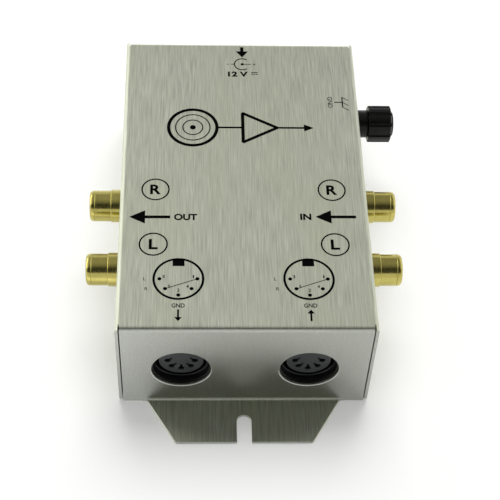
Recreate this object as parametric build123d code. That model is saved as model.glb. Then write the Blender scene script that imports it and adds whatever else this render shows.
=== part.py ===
"""Phono preamp: a folded steel box with RCA jacks, DIN sockets, a DC jack and a ground terminal.

Millimetres. The origin is the centre of the underside, +X the input side, +Y the DC jack, +Z up.
"""

import os

from build123d import *

# Folded cover: outer faces of the walls
LENGTH = 100.0  # along Y
WIDTH = 65.0  # along X
HEIGHT = 33.0
SHEET = 0.8
BEND_INNER = 0.5
CORNER_GAP = 0.3  # open corner between an end wall and a side wall
CORNER_NOTCH = 0.25  # slit past the end wall's bend at a top corner
SIDE_CORNER_R = 1.6  # rounded lower corner of a side wall
FOOT_LIFT = 0.2  # end wall's foot beside the flange, above the surface

# Fixing flanges at both ends
FLANGE_DEPTH = 12.8  # from the end wall's outer face
FLANGE_HALF_ROOT = 25.3
FLANGE_HALF_TIP = 17.65
FLANGE_CORNER_R = 0.8
FLANGE_ROOT_R = 1.2  # inside corner between the flange's side and the wall's foot
SLOT_WIDTH = 3.9
SLOT_CENTRE = 6.7  # slot's arc centre, from the end wall's outer face

# Base and board
FIT = 0.2  # clearance of a plate between walls
PLATE = 1.5
PLATE_CORNER_R = 1.5
STANDOFF_HEIGHT = 2.5
STANDOFF_R = 3.0
STANDOFF_SPIGOT_R = 2.1  # end pressed into the plate
BOARD = 1.6
BOARD_SIDE_GAP = 2.7  # board's edge to a side wall
BOARD_END_GAP = 1.7  # board's edge to an end wall
BOARD_SCREW_INSET = 4.0  # screws from the board's long edges
BOARD_SCREW_SETBACK = 16.5  # and from its short edges
M3_R = 1.5
M3_CLEAR_R = 1.65
PAN_HEAD_R = 2.8
PAN_HEAD_HEIGHT = 1.8
PAN_HEAD_ROUND = 0.7
PAN_DRIVE_LENGTH = 2.6
PAN_DRIVE_WIDTH = 0.6
PAN_DRIVE_DEPTH = 0.8
BRACKET_INSET = 7.2  # bracket's middle from an end wall's inner face
BRACKET_WIDTH = 9.0
BRACKET_DEPTH = 8.0
BRACKET_HEIGHT = 7.0
BRACKET_SHEET = 1.0
BRACKET_BEND = 0.4
PRESS_NUT_R = 2.4
PRESS_NUT_HEIGHT = 1.1
SINK_SCREW_R = 1.25
SINK_HEAD_R = 2.35
SINK_HEAD_HEIGHT = 1.1

# RCA jacks
JACK_DROP = 8.7  # axes below the cover's top
JACK_RIGHT = 46.15  # axes from the -Y end wall's outer face
JACK_LEFT = 24.8
JACK_R = 4.15
JACK_COLLAR_R = 4.4
JACK_COLLAR = 2.9  # length of the collar on the wall
JACK_LENGTH = 8.4  # from the wall to the tip
JACK_TIP_ROUND = 0.75
JACK_BORE_R = 3.35
JACK_FLOOR = 1.2  # bore's floor above the wall
SHANK_R = 3.5
SHANK_BORE_R = 2.6
SHANK_LENGTH = 8.0  # from the wall's outer face inwards
CONTACT_R = 2.0
CONTACT_BORE_R = 1.6
CONTACT_BORE_DEPTH = 14.0
CONTACT_MOUTH_CHAMFER = 0.15
CONTACT_TAIL_R = 1.0
CONTACT_TAIL = 3.0
INSULATOR_RECESS = 0.3
INSULATOR_TAIL = 1.0  # insulator past the shank's end
SHANK_HOLE_GAP = 0.05
JACK_NUT_FLATS = 10.0
JACK_NUT = 2.0

# Solder tags
TAG_SHEET = 0.5
TAG_RING = 1.6  # width of the ring
TAG_ARM = 8.6  # hole centre to the arm's end
TAG_ARM_WIDTH = 2.4

# DIN sockets
DIN_X = 16.3
DIN_ABOVE_BOARD = 9.5
DIN_HOLE_R = 7.6
DIN_GAP = 0.2  # body's front behind the wall
DIN_BODY_HALF_WIDTH = 8.7
DIN_BODY_DEPTH = 11.5
DIN_BODY_TOP = 9.0  # above the socket's axis
DIN_BODY_CHAMFER = 1.5
DIN_MOUTH_R = 7.2
DIN_RING_DEPTH = 2.7  # shield's edge, behind the wall's outer face
DIN_SHIELD_R = 6.95
DIN_SHIELD_INNER_R = 6.7
DIN_SHIELD_LENGTH = 8.0
DIN_INSERT_R = 5.7
DIN_INSERT_DEPTH = 3.5  # insert's face, behind the wall's outer face
DIN_ROOT = 1.5  # closed end of a contact's sleeve
DIN_KEY_WIDTH = 2.6
DIN_KEY_DEPTH = 1.3
DIN_PIN_CIRCLE_R = 3.5
DIN_PINS = ((180, 45), (225, 45), (270, 90), (315, 135), (0, 135))  # place on the circle, slot's angle
DIN_PIN_HOLE_R = 0.8
DIN_PIN_SLOT_WIDTH = 0.55
DIN_PIN_SLOT_REACH = 1.7  # slot's end, from the pin's centre
DIN_PIN_SLOT_DEPTH = 1.2
DIN_CONTACT_R = 1.05
DIN_CONTACT_SINK = 1.6  # contact's mouth behind the insert's face
DIN_TAIL_R = 0.35
DIN_TAIL_BEND_R = 0.8
DIN_TAIL_ROWS = (1.2, 2.6)  # tails' rows behind the body

# DC jack
DC_HOLE_R = 4.0
DC_WIDTH = 9.0
DC_DEPTH = 14.0
DC_ABOVE_BOARD = 6.5
DC_TOP = 4.9  # above the jack's axis
DC_TOP_ROUND = 1.5
DC_BORE_R = 3.05
DC_BORE_DEPTH = 10.5
DC_PIN_R = 1.0
DC_PIN_SINK = 0.8
DC_PIN_ROOT_R = 1.4
DC_PIN_TAIL_WIDTH = 2.4
DC_PIN_TAIL = 0.4  # thickness
DC_LEAF = 0.35
DC_LEAF_WIDTH = 2.2
DC_LEAF_HEEL = 9.6  # leg's place behind the body's front
DC_LEAF_CREST = 4.6
DC_LEAF_NOSE = 2.6
DC_LEAF_DROP = 0.9  # leaf's ends below the bore
DC_LEAF_RISE = 0.25  # crest above the bore's lowest line

# Ground terminal
POST_SETBACK = 23.2  # axis from the +Y end wall's outer face
POST_DROP = 8.7  # axis below the cover's top
POST_R = 2.0  # M4 stud
POST_HOLE_GAP = 0.15
POST_NUT_FLATS = 7.0
POST_NUT = 2.2
POST_INSIDE = 5.5  # stud behind the wall's inner face
POST_CHAMFER = 0.4
COLLAR_R = 3.9
COLLAR_LENGTH = 3.45
COLLAR_SHOULDER_R = 2.9
COLLAR_SHOULDER = 1.2
COLLAR_CHAMFER = 0.25
CAP_R = 5.15
CAP_RIBS = 10
CAP_FLUTE_R = 0.6
CAP_FLUTE_BITE = 0.55  # depth of a flute
CAP_FLUTE_TURN = 10.0  # turn of the flutes about the axis, in degrees
CAP_RIBBED = 6.4
CAP_FOOT_CHAMFER = 0.2
CAP_TOP_SLOPE = (0.5, 0.3)  # across and along the ribs' outer ends
CAP_BOSS_R = 3.5
CAP_BOSS = 0.75
CAP_BOSS_ROUND = 0.6
CAP_SEAT_GAP = 0.05
CAP_RUNNING = 0.05  # radial clearance on the stud
WASHER_R = 3.6
WASHER = 0.5
WASHER_RUNNING = 0.06
WASHER_RIM_GAP = 0.2
SPIGOT_R = 2.6
INSERT_R = 3.0
INSERT_LENGTH = 5.4
STUD_END_GAP = 0.5  # stud's tip to the bottom of the cap's bore

# Electronics: body sizes
CHIP_LENGTH = 9.4
CHIP_WIDTH = 6.4
CHIP_HEIGHT = 3.3
CHIP_PITCH = 2.54
CHIP_ROWS = 7.62
CHIP_LIFT = 0.5
CHIP_LEG = 0.3
CHIP_LEG_WIDTH = 1.2
CHIP_NOTCH_R = 0.8
CHIP_NOTCH = 1.0
SOCKET_HEIGHT = 4.0
SOCKET_LENGTH = 10.2
SOCKET_WIDTH = 10.0
SOCKET_RAIL = 2.5
SOCKET_END = 1.5
CHIP_PLACES = ((-7.5, -9.5), (7.5, -9.5))
CAN_R = 4.0
CAN_HEIGHT = 11.5
CAN_ROUND = 0.35
CAN_GROOVE = 0.4
CAN_GROOVE_Z = 1.7
CAN_VENT = 0.4
CAN_PLACES = ((-20.0, 12.0), (-19.5, 21.5), (-9.0, 14.0), (9.0, 14.0), (20.0, 12.0), (19.0, 22.0))
FILM_LENGTH = 7.2
FILM_WIDTH = 2.6
FILM_HEIGHT = 6.5
FILM_CHAMFER = 0.4
FILM_PLACES = ((-21.0, -10.0), (-21.0, -17.0), (21.0, -10.0), (21.0, -17.0), (-7.5, -19.0), (7.5, -19.0))
RESISTOR_R = 1.15
RESISTOR_END_R = 1.3
RESISTOR_LENGTH = 6.3
RESISTOR_END = 1.3
RESISTOR_SPAN = 10.16
RESISTOR_LEAD_R = 0.3
RESISTOR_LIFT = 0.4
LEAD_BEND_R = 0.8
RESISTOR_X = 6.2
RESISTOR_ROWS = (-28.0, -24.5, 0.5, 4.0)
REGULATOR_X = -13.0
REGULATOR_SETBACK = 13.0  # tab's foot from the +Y end wall's outer face
REGULATOR_WIDTH = 10.0
REGULATOR_TAB = 1.3
REGULATOR_BODY = 4.5
REGULATOR_BODY_HEIGHT = 9.0
REGULATOR_LIFT = 3.0
REGULATOR_HEIGHT = 15.0
REGULATOR_HOLE_R = 1.8
REGULATOR_HOLE_DROP = 2.6
REGULATOR_LEAD = 0.4
DIODE_X = 14.0
DIODE_SETBACK = 12.0  # middle from the +Y end wall's outer face
DIODE_R = 1.35
DIODE_LENGTH = 5.2
DIODE_SPAN = 10.0
DIODE_LEVEL = 1.8
DIODE_LEAD_R = 0.4

# Wires
WIRE_R = 0.6
WIRE_BEND_R = 4.0
SIGNAL_WIRE_REACH = 5.0  # from the contact's tail inwards to the wire's drop
TAG_WIRE_REACH = 4.5
HOLE_GAP = 0.1  # leads' clearance in the board

# Levels and planes that follow from the sizes above
BEND_OUTER = BEND_INNER + SHEET
FOOT_TOP = 2 * BEND_OUTER  # top of the strip that holds a flange's bend
END_Y = LENGTH / 2
END_INNER_Y = END_Y - SHEET
SIDE_X = WIDTH / 2
SIDE_INNER_X = SIDE_X - SHEET
END_WALL_HALF = SIDE_INNER_X - CORNER_GAP
BOARD_Z = PLATE + STANDOFF_HEIGHT
BOARD_TOP = BOARD_Z + BOARD
BOARD_HALF_WIDTH = SIDE_INNER_X - BOARD_SIDE_GAP
BOARD_HALF_LENGTH = END_INNER_Y - BOARD_END_GAP
JACK_Z = HEIGHT - JACK_DROP
DIN_Z = BOARD_TOP + DIN_ABOVE_BOARD
DC_Z = BOARD_TOP + DC_ABOVE_BOARD
POST_Y = END_Y - POST_SETBACK
POST_Z = HEIGHT - POST_DROP
SIDES = (-1, 1)
JACKS = {
    "out_right": (-1, JACK_RIGHT - END_Y),
    "out_left": (-1, JACK_LEFT - END_Y),
    "in_right": (1, JACK_RIGHT - END_Y),
    "in_left": (1, JACK_LEFT - END_Y),
}
DINS = {"out": -DIN_X, "in": DIN_X}


def facing(origin, direction):
    """Placement whose local +Z points along direction."""
    return Plane(origin=origin, z_dir=direction).location


def block(x, y, z):
    """Box between two values on each axis."""
    middle = Pos((x[0] + x[1]) / 2, (y[0] + y[1]) / 2, (z[0] + z[1]) / 2)
    return middle * Box(x[1] - x[0], y[1] - y[0], z[1] - z[0])


def turned(*profile):
    """Solid turned about Z from (radius, height) points."""
    return revolve(Plane.XZ * make_face(Polyline(*profile, close=True)), Axis.Z)


def rod(radius, low, high):
    return Pos(0, 0, (low + high) / 2) * Cylinder(radius, high - low)


def tube(outer, inner, low, high):
    return rod(outer, low, high) - rod(inner, low, high)


def hexagon(flats, bore, low, high):
    sketch = RegularPolygon(flats / 2, 6, major_radius=False) - Circle(bore)
    return Pos(0, 0, low) * extrude(sketch, high - low)


def wire(radius, path):
    """Round wire along a path of straight runs and arcs."""
    return sweep(Plane(origin=path @ 0, z_dir=path % 0) * Circle(radius), path)


def group(pieces):
    return Compound([solid for piece in pieces for solid in piece.solids()])


# Cover


def band(upper, lower):
    """Face between two open lines that run the same way."""
    return make_face(upper + lower + Line(upper @ 0, lower @ 0) + Line(upper @ 1, lower @ 1))


def folded(half, inner_half, foot):
    """Top with a wall bent down at each side, as a section."""
    top = HEIGHT - SHEET
    outer = FilletPolyline((-half, foot), (-half, HEIGHT), (half, HEIGHT), (half, foot), radius=BEND_OUTER)
    inner = FilletPolyline(
        (-inner_half, foot), (-inner_half, top), (inner_half, top), (inner_half, foot), radius=BEND_INNER
    )
    return band(outer, inner)


def flange():
    """Foot of the -Y end wall, with the slotted flange bent out of it."""
    tip = -END_Y - FLANGE_DEPTH
    upper = FilletPolyline((tip, SHEET), (-END_Y, SHEET), (-END_Y, FOOT_TOP), radius=BEND_INNER)
    lower = FilletPolyline((tip, 0), (-END_INNER_Y, 0), (-END_INNER_Y, FOOT_TOP), radius=BEND_OUTER)
    bent = extrude(Plane.YZ * band(upper, lower), END_WALL_HALF, both=True)
    outline = Polyline(
        (-END_WALL_HALF, 0),
        (-END_WALL_HALF, -END_Y),
        (-FLANGE_HALF_ROOT, -END_Y),
        (-FLANGE_HALF_TIP, tip),
        (FLANGE_HALF_TIP, tip),
        (FLANGE_HALF_ROOT, -END_Y),
        (END_WALL_HALF, -END_Y),
        (END_WALL_HALF, 0),
        close=True,
    )
    plan = make_face(outline)
    plan = fillet(plan.vertices().filter_by_position(Axis.Y, tip, tip), FLANGE_CORNER_R)
    roots = plan.vertices().filter_by_position(Axis.Y, -END_Y, -END_Y)
    roots = roots.filter_by_position(Axis.X, -FLANGE_HALF_ROOT, FLANGE_HALF_ROOT)
    plan = fillet(roots, FLANGE_ROOT_R)
    slot = Pos(0, -END_Y - SLOT_CENTRE) * Circle(SLOT_WIDTH / 2)
    slot += Pos(0, (-END_Y - SLOT_CENTRE + tip) / 2) * Rectangle(SLOT_WIDTH, FLANGE_DEPTH - SLOT_CENTRE)
    foot = bent & extrude(plan - slot, FOOT_TOP)
    for sign in SIDES:
        beside = sorted((sign * (FLANGE_HALF_ROOT + FLANGE_ROOT_R), sign * END_WALL_HALF))
        foot -= block(beside, (-END_Y, 0), (0, FOOT_TOP))
        foot += block(beside, (-END_Y, -END_INNER_Y), (FOOT_LIFT, FOOT_TOP))
    return foot


def cover():
    ends = extrude(Plane.YZ * folded(END_Y, END_INNER_Y, FOOT_TOP), END_WALL_HALF, both=True)
    sides = extrude(Plane.XZ * folded(SIDE_X, SIDE_INNER_X, 0), END_Y, both=True)
    corners = sides.edges().filter_by(Axis.X).filter_by_position(Axis.Z, 0, 0)
    sides = fillet(corners, SIDE_CORNER_R)
    for sign in SIDES:
        y = sorted((sign * END_Y, sign * (END_Y - BEND_OUTER - CORNER_NOTCH)))
        sides -= block((-SIDE_INNER_X, SIDE_INNER_X), y, (HEIGHT - BEND_OUTER, HEIGHT))
    front = flange()
    body = ends + sides + front + front.mirror(Plane.XZ)
    for x in DINS.values():
        body -= facing((x, -END_Y, DIN_Z), (0, 1, 0)) * rod(DIN_HOLE_R, 0, SHEET)
    body -= facing((0, END_Y, DC_Z), (0, -1, 0)) * rod(DC_HOLE_R, 0, SHEET)
    for sign, y in JACKS.values():
        body -= facing((sign * SIDE_X, y, JACK_Z), (-sign, 0, 0)) * rod(SHANK_R + SHANK_HOLE_GAP, 0, SHEET)
    body -= facing((SIDE_X, POST_Y, POST_Z), (-1, 0, 0)) * rod(POST_R + POST_HOLE_GAP, 0, SHEET)
    return body


# Base and board


def bracket_rows():
    return [sign * (END_INNER_Y - BRACKET_INSET) for sign in SIDES]


def bracket_places():
    x = SIDE_INNER_X - BRACKET_DEPTH / 2
    return [(sx * x, y) for sx in SIDES for y in bracket_rows()]


def standoff_places():
    x = BOARD_HALF_WIDTH - BOARD_SCREW_INSET
    y = BOARD_HALF_LENGTH - BOARD_SCREW_SETBACK
    return [(sx * x, sy * y) for sx in SIDES for sy in SIDES]


def base_plate():
    plan = RectangleRounded(2 * (SIDE_INNER_X - FIT), 2 * (END_INNER_Y - FIT), PLATE_CORNER_R)
    for x, y in standoff_places():
        plan -= Pos(x, y) * Circle(STANDOFF_SPIGOT_R)
    plate = extrude(plan, PLATE)
    for x, y in bracket_places():
        plate -= Pos(x, y, 0) * sink_screw(PLATE)
    return plate


def sink_screw(length):
    """Countersunk screw, its head's face at z = 0."""
    head = (0, 0), (SINK_HEAD_R, 0), (SINK_SCREW_R, SINK_HEAD_HEIGHT)
    return turned(*head, (SINK_SCREW_R, length), (0, length))


def base_screws():
    screw = sink_screw(PLATE + BRACKET_SHEET + PRESS_NUT_HEIGHT)
    return group(Pos(x, y, 0) * screw for x, y in bracket_places())


def base_brackets():
    """Angles on the side walls' inner faces."""
    wall = SIDE_INNER_X
    edge = wall - BRACKET_DEPTH
    top = PLATE + BRACKET_HEIGHT
    heel = (wall, top), (wall, PLATE), (edge, PLATE)
    inside = wall - BRACKET_SHEET
    level = PLATE + BRACKET_SHEET
    outer = FilletPolyline(*heel, radius=BRACKET_BEND + BRACKET_SHEET)
    inner = FilletPolyline((inside, top), (inside, level), (edge, level), radius=BRACKET_BEND)
    angle = extrude(Plane.XZ * band(outer, inner), BRACKET_WIDTH / 2, both=True)
    angle -= Pos(wall - BRACKET_DEPTH / 2, 0, PLATE) * rod(SINK_SCREW_R, 0, BRACKET_SHEET)
    pair = [angle, angle.mirror(Plane.YZ)]
    return group(Pos(0, y, 0) * piece for piece in pair for y in bracket_rows())


def press_nuts():
    low = PLATE + BRACKET_SHEET
    nut = tube(PRESS_NUT_R, SINK_SCREW_R, low, low + PRESS_NUT_HEIGHT)
    return group(Pos(x, y, 0) * nut for x, y in bracket_places())


def board_standoffs():
    spacer = tube(STANDOFF_R, M3_R, PLATE, BOARD_Z) + tube(STANDOFF_SPIGOT_R, M3_R, 0, PLATE)
    return group(Pos(x, y, 0) * spacer for x, y in standoff_places())


def board_screws():
    top = BOARD_TOP + PAN_HEAD_HEIGHT
    head = rod(PAN_HEAD_R, BOARD_TOP, top)
    head = fillet(head.edges().group_by(Axis.Z)[-1], PAN_HEAD_ROUND)
    drive = Box(PAN_DRIVE_LENGTH, PAN_DRIVE_WIDTH, 2 * PAN_DRIVE_DEPTH)
    drive += Box(PAN_DRIVE_WIDTH, PAN_DRIVE_LENGTH, 2 * PAN_DRIVE_DEPTH)
    screw = head + rod(M3_R, FIT, BOARD_TOP) - Pos(0, 0, top) * drive
    return group(Pos(x, y, 0) * screw for x, y in standoff_places())


def circuit_board():
    plan = RectangleRounded(2 * BOARD_HALF_WIDTH, 2 * BOARD_HALF_LENGTH, PLATE_CORNER_R)
    for x, y in standoff_places():
        plan -= Pos(x, y) * Circle(M3_CLEAR_R)
    for socket_x in DINS.values():
        for pin, row in din_tails():
            plan -= Pos(socket_x - pin.X, row - END_Y) * Circle(DIN_TAIL_R + HOLE_GAP)
    pin_y = END_Y - dc_back() - DC_PIN_TAIL / 2
    plan -= Pos(0, pin_y) * Rectangle(DC_PIN_TAIL_WIDTH + 2 * HOLE_GAP, DC_PIN_TAIL + 2 * HOLE_GAP)
    heel_y = END_Y - dc_front() - DC_LEAF_HEEL
    plan -= Pos(0, heel_y) * Rectangle(DC_LEAF_WIDTH + 2 * HOLE_GAP, DC_LEAF + 2 * HOLE_GAP)
    return Pos(0, 0, BOARD_Z) * extrude(plan, BOARD)


# RCA jacks, made along +Z with the wall's outer face at z = 0


def jack_place(name):
    sign, y = JACKS[name]
    return facing((sign * SIDE_X, y, JACK_Z), (sign, 0, 0))


def jack_shell():
    shell = turned(
        (SHANK_BORE_R, -SHANK_LENGTH),
        (SHANK_R, -SHANK_LENGTH),
        (SHANK_R, 0),
        (JACK_COLLAR_R, 0),
        (JACK_COLLAR_R, JACK_COLLAR),
        (JACK_R, JACK_COLLAR),
        (JACK_R, JACK_LENGTH),
        (JACK_BORE_R, JACK_LENGTH),
        (JACK_BORE_R, JACK_FLOOR),
        (SHANK_BORE_R, JACK_FLOOR),
    )
    rim = shell.edges().filter_by(GeomType.CIRCLE).filter_by(lambda e: abs(e.radius - JACK_R) < 1e-6)
    return fillet(rim.group_by(Axis.Z)[-1], JACK_TIP_ROUND)


def jack_insulator():
    face = JACK_LENGTH - INSULATOR_RECESS
    tail = -SHANK_LENGTH - INSULATOR_TAIL
    return turned(
        (CONTACT_R, tail),
        (SHANK_BORE_R, tail),
        (SHANK_BORE_R, JACK_FLOOR),
        (JACK_BORE_R, JACK_FLOOR),
        (JACK_BORE_R, face),
        (CONTACT_R, face),
    )


def jack_contact():
    face = JACK_LENGTH - INSULATOR_RECESS
    floor = face - CONTACT_BORE_DEPTH
    end = -SHANK_LENGTH - INSULATOR_TAIL
    return turned(
        (0, end - CONTACT_TAIL),
        (CONTACT_TAIL_R, end - CONTACT_TAIL),
        (CONTACT_TAIL_R, end),
        (CONTACT_R, end),
        (CONTACT_R, face),
        (CONTACT_BORE_R + CONTACT_MOUTH_CHAMFER, face),
        (CONTACT_BORE_R, face - CONTACT_MOUTH_CHAMFER),
        (CONTACT_BORE_R, floor),
        (0, floor),
    )


def solder_tag(bore):
    """Ring with an arm along local -Y, lying on z = 0."""
    ring = Circle(bore + TAG_RING) + Pos(0, -TAG_ARM / 2) * Rectangle(TAG_ARM_WIDTH, TAG_ARM)
    return extrude(ring - Circle(bore), TAG_SHEET)


def inner_wall(sign, y, z):
    """Placement on a side wall's inner face, local +Z inwards and local +Y up."""
    return Plane(origin=(sign * SIDE_INNER_X, y, z), x_dir=(0, -sign, 0), z_dir=(-sign, 0, 0)).location


def jack_tags():
    return group(inner_wall(sign, y, JACK_Z) * solder_tag(SHANK_R) for sign, y in JACKS.values())


def jack_nuts():
    nut = hexagon(JACK_NUT_FLATS, SHANK_R, TAG_SHEET, TAG_SHEET + JACK_NUT)
    return group(inner_wall(sign, y, JACK_Z) * nut for sign, y in JACKS.values())


# DIN sockets, made along +Z into the box with the wall's outer face at z = 0 and local +Y up


def din_place(name):
    return Plane(origin=(DINS[name], -END_Y, DIN_Z), x_dir=(-1, 0, 0), z_dir=(0, 1, 0)).location


def din_front():
    return SHEET + DIN_GAP


def din_back():
    return din_front() + DIN_BODY_DEPTH


def din_body():
    half = DIN_BODY_HALF_WIDTH
    body = block((-half, half), (BOARD_TOP - DIN_Z, DIN_BODY_TOP), (din_front(), din_back()))
    body = chamfer(body.edges().filter_by(Axis.Z).group_by(Axis.Y)[-1], DIN_BODY_CHAMFER)
    body -= rod(DIN_MOUTH_R, din_front(), DIN_RING_DEPTH)
    return body - rod(DIN_SHIELD_R, DIN_RING_DEPTH, din_back())


def din_root():
    return DIN_RING_DEPTH + DIN_SHIELD_LENGTH


def din_shield():
    return tube(DIN_SHIELD_R, DIN_SHIELD_INNER_R, DIN_RING_DEPTH, din_root())


def din_pins():
    """Each contact's place on the insert's face; the +X of the face is on the left from outside."""
    return [(Rot(0, 0, 180 - angle) * Pos(DIN_PIN_CIRCLE_R, 0, 0)).position for angle, _ in DIN_PINS]


def din_insert():
    insert = rod(DIN_INSERT_R, DIN_INSERT_DEPTH, din_root()) + rod(DIN_SHIELD_R, din_root(), din_back())
    half = DIN_KEY_WIDTH / 2
    insert -= block(
        (-half, half), (DIN_INSERT_R - DIN_KEY_DEPTH, DIN_SHIELD_R), (DIN_INSERT_DEPTH, din_root())
    )
    mouth = DIN_INSERT_DEPTH + DIN_CONTACT_SINK
    hole = rod(DIN_PIN_HOLE_R, DIN_INSERT_DEPTH, mouth) + rod(DIN_CONTACT_R, mouth, din_back())
    half = DIN_PIN_SLOT_WIDTH / 2
    slot = block(
        (0, DIN_PIN_SLOT_REACH), (-half, half), (DIN_INSERT_DEPTH, DIN_INSERT_DEPTH + DIN_PIN_SLOT_DEPTH)
    )
    for pin, (_, slot_angle) in zip(din_pins(), DIN_PINS):
        insert -= Pos(pin) * (hole + Rot(0, 0, 180 - slot_angle) * slot)
    return insert


def din_tails():
    """Each contact's place with its tail's row behind the wall."""
    return [(pin, din_back() + DIN_TAIL_ROWS[i % 2]) for i, pin in enumerate(din_pins())]


def din_contacts():
    """Five sleeves, each with a tail that turns down into the board."""
    mouth = DIN_INSERT_DEPTH + DIN_CONTACT_SINK
    sleeve = rod(DIN_CONTACT_R, mouth, din_back()) - rod(DIN_PIN_HOLE_R, mouth, din_back() - DIN_ROOT)
    contacts = []
    for pin, row in din_tails():
        corners = (pin.X, pin.Y, din_back()), (pin.X, pin.Y, row), (pin.X, BOARD_Z - DIN_Z, row)
        path = FilletPolyline(*corners, radius=DIN_TAIL_BEND_R)
        contacts.append(Pos(pin) * sleeve + wire(DIN_TAIL_R, path))
    return group(contacts)


# DC jack, made like the DIN sockets but from the +Y wall


def dc_place():
    return Plane(origin=(0, END_Y, DC_Z), x_dir=(1, 0, 0), z_dir=(0, -1, 0)).location


def dc_front():
    return SHEET + DIN_GAP


def dc_floor():
    return dc_front() + DC_BORE_DEPTH


def dc_back():
    return dc_front() + DC_DEPTH


def dc_jack_body():
    half = DC_WIDTH / 2
    body = block((-half, half), (-DC_ABOVE_BOARD, DC_TOP), (dc_front(), dc_back()))
    body = fillet(body.edges().filter_by(Axis.Z).group_by(Axis.Y)[-1], DC_TOP_ROUND)
    body -= rod(DC_BORE_R, dc_front(), dc_floor())
    body -= rod(DC_PIN_ROOT_R, dc_floor(), dc_back())
    channel = DC_LEAF_WIDTH / 2 + HOLE_GAP
    start = dc_front() + DC_LEAF_NOSE - 2 * DC_LEAF
    return body - block((-channel, channel), (-DC_ABOVE_BOARD, -DC_BORE_R + DC_LEAF), (start, dc_floor()))


def dc_jack_pin():
    pin = rod(DC_PIN_R, dc_front() + DC_PIN_SINK, dc_floor()) + rod(DC_PIN_ROOT_R, dc_floor(), dc_back())
    pin = fillet(pin.edges().group_by(Axis.Z)[0], DC_PIN_R / 2)
    half = DC_PIN_TAIL_WIDTH / 2
    return pin + block((-half, half), (BOARD_Z - DC_Z, DC_PIN_ROOT_R), (dc_back(), dc_back() + DC_PIN_TAIL))


def dc_jack_spring():
    """Bent leaf that bears on the plug's sleeve, with its leg through the board."""
    low = -DC_BORE_R - DC_LEAF_DROP
    heel = dc_front() + DC_LEAF_HEEL
    crest = (DC_LEAF_RISE - DC_BORE_R, dc_front() + DC_LEAF_CREST)
    nose = (low, dc_front() + DC_LEAF_NOSE)
    line = FilletPolyline((BOARD_Z - DC_Z, heel), (low, heel), crest, nose, radius=2 * DC_LEAF)
    along = Plane(origin=(0, 0, 0), x_dir=(0, 1, 0), z_dir=(1, 0, 0))
    return extrude(along * trace(line, DC_LEAF), DC_LEAF_WIDTH / 2, both=True)


# Ground terminal, made along +Z with the wall's outer face at z = 0


def post_place():
    return facing((SIDE_X, POST_Y, POST_Z), (1, 0, 0))


def ground_collar():
    collar = turned(
        (POST_R, 0),
        (COLLAR_R, 0),
        (COLLAR_R, COLLAR_LENGTH),
        (COLLAR_SHOULDER_R, COLLAR_LENGTH),
        (COLLAR_SHOULDER_R, COLLAR_LENGTH - COLLAR_SHOULDER),
        (POST_R, COLLAR_LENGTH - COLLAR_SHOULDER),
    )
    rims = collar.edges().filter_by(GeomType.CIRCLE).filter_by(lambda e: abs(e.radius - COLLAR_R) < 1e-6)
    return chamfer(rims, COLLAR_CHAMFER)


def cap_base():
    return COLLAR_LENGTH + CAP_SEAT_GAP


def insert_base():
    return cap_base() + WASHER + CAP_SEAT_GAP


def cap_bore_end():
    return insert_base() + INSERT_LENGTH


def ground_stud():
    tip = cap_bore_end() - STUD_END_GAP
    return turned(
        (0, -SHEET - POST_INSIDE),
        (POST_R, -SHEET - POST_INSIDE),
        (POST_R, COLLAR_LENGTH - COLLAR_SHOULDER),
        (COLLAR_SHOULDER_R, COLLAR_LENGTH - COLLAR_SHOULDER),
        (COLLAR_SHOULDER_R, COLLAR_LENGTH),
        (POST_R, COLLAR_LENGTH),
        (POST_R, tip - POST_CHAMFER),
        (POST_R - POST_CHAMFER, tip),
        (0, tip),
    )


def ground_nut():
    return inner_wall(1, POST_Y, POST_Z) * hexagon(POST_NUT_FLATS, POST_R, TAG_SHEET, TAG_SHEET + POST_NUT)


def ground_tag():
    return inner_wall(1, POST_Y, POST_Z) * solder_tag(POST_R)


def clamp_washer():
    return tube(WASHER_R, SPIGOT_R + WASHER_RUNNING, cap_base(), cap_base() + WASHER)


def cap_insert():
    """Brass nut moulded in the cap, with the spigot that carries the washer."""
    bore = POST_R + CAP_RUNNING
    spigot = tube(SPIGOT_R, bore, cap_base(), insert_base())
    return spigot + tube(INSERT_R, bore, insert_base(), cap_bore_end())


def ground_cap():
    ribs_end = cap_base() + CAP_RIBBED
    end = COLLAR_LENGTH + CAP_RIBBED + CAP_BOSS
    outline = Circle(CAP_R)
    for place in PolarLocations(CAP_R + CAP_FLUTE_R - CAP_FLUTE_BITE, CAP_RIBS, CAP_FLUTE_TURN):
        outline -= place * Circle(CAP_FLUTE_R)
    grip = Pos(0, 0, cap_base()) * extrude(outline, CAP_RIBBED)
    grip &= turned(
        (0, cap_base()),
        (CAP_R - CAP_FOOT_CHAMFER, cap_base()),
        (CAP_R, cap_base() + CAP_FOOT_CHAMFER),
        (CAP_R, ribs_end - CAP_TOP_SLOPE[1]),
        (CAP_R - CAP_TOP_SLOPE[0], ribs_end),
        (0, ribs_end),
    )
    boss = fillet(rod(CAP_BOSS_R, ribs_end, end).edges().group_by(Axis.Z)[-1], CAP_BOSS_ROUND)
    recess = rod(WASHER_R + WASHER_RIM_GAP, cap_base(), insert_base())
    return grip + boss - recess - rod(INSERT_R, insert_base(), cap_bore_end())


# Electronics, each standing on the board


def on_board(piece, places):
    return group(Pos(x, y, BOARD_TOP) * piece for x, y in places)


def amp_sockets():
    window = Box(SOCKET_WIDTH - 2 * SOCKET_RAIL, SOCKET_LENGTH - 2 * SOCKET_END, 3 * SOCKET_HEIGHT)
    body = Pos(0, 0, SOCKET_HEIGHT / 2) * Box(SOCKET_WIDTH, SOCKET_LENGTH, SOCKET_HEIGHT)
    return on_board(body - window, CHIP_PLACES)


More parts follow.
